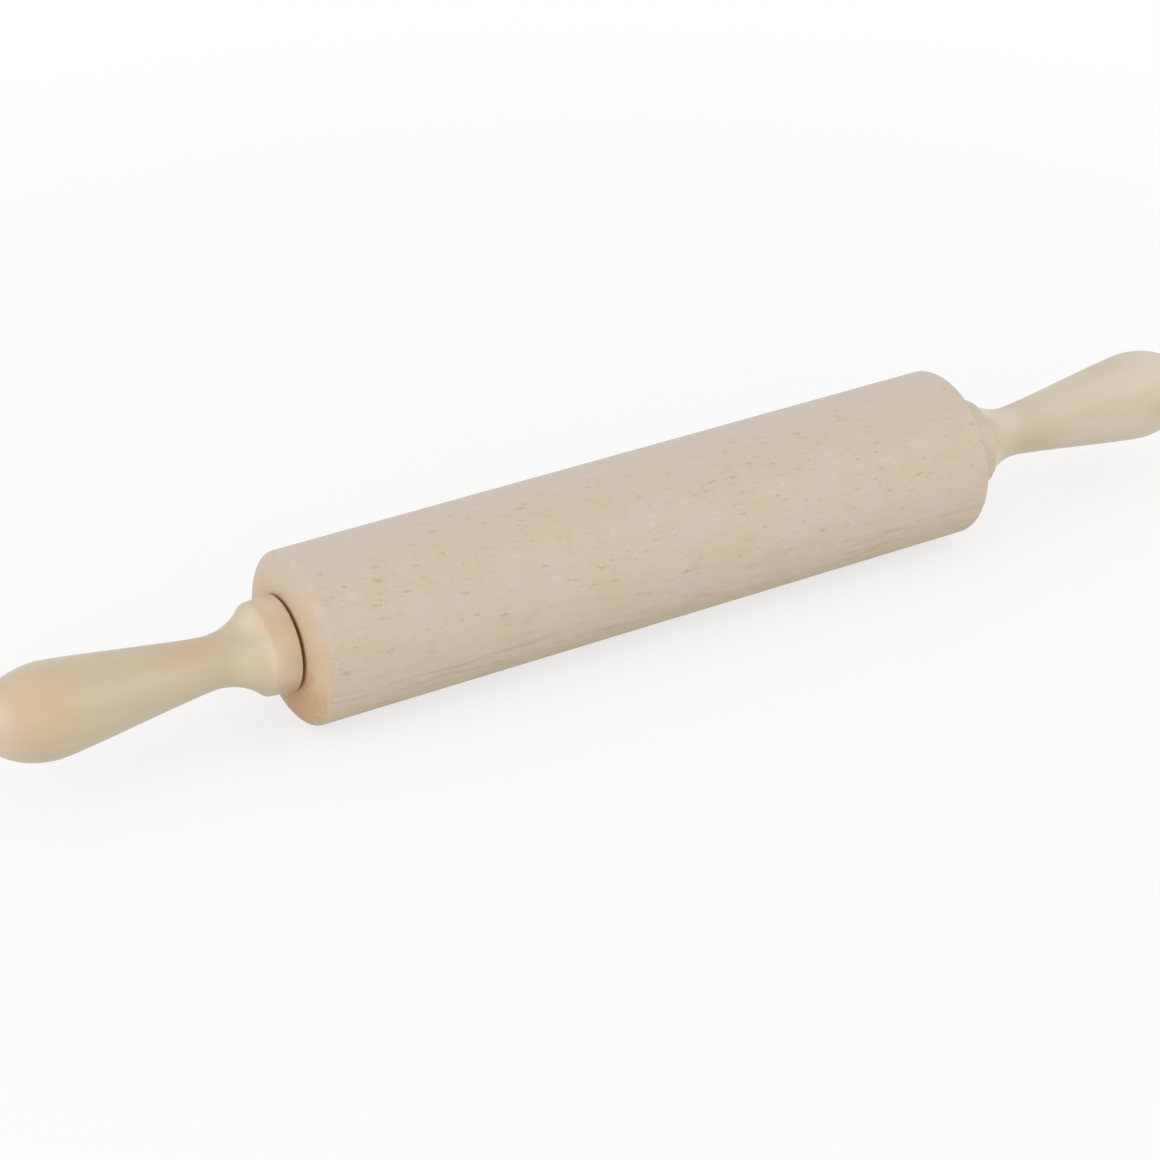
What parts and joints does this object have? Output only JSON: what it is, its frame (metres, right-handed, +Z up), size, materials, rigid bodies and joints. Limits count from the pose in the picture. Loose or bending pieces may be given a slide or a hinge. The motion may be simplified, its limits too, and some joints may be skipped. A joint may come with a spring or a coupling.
{
  "type": "rolling pin",
  "caption": "Wooden rolling pin: a straight round roller with rounded ends, turning on a steel rod between turned handles with a collar, a hollow neck and a swelling grip.",
  "frame": {"origin": "middle of the roller, on the pin's axis", "axes": "+X along the pin, from the left handle to the right one; +Z up, away from the table that the roller lies on"},
  "size_m": [0.4514, 0.056, 0.056],
  "materials": {
    "roller_wood": "bare turned beech, pinkish beige with short ray flecks",
    "handle_wood": "smooth satin varnish, cream",
    "rod_steel": "drawn rod, satin",
    "washer_steel": "stamped, satin",
    "bushing_plastic": "natural nylon, matte"
  },
  "bodies": {
    "handles": {"axle_rod": "rod_steel", "handle_left": "handle_wood", "handle_right": "handle_wood", "washer_left": "washer_steel", "washer_right": "washer_steel"},
    "roller": {"roller": "roller_wood", "bushing_left": "bushing_plastic", "bushing_right": "bushing_plastic"}
  },
  "joints": [
    {"name": "roller_spin", "type": "hinge", "parent": "handles", "child": "roller", "pos_m": [0, 0, 0], "axis": [1, 0, 0], "continuous": true}
  ]
}
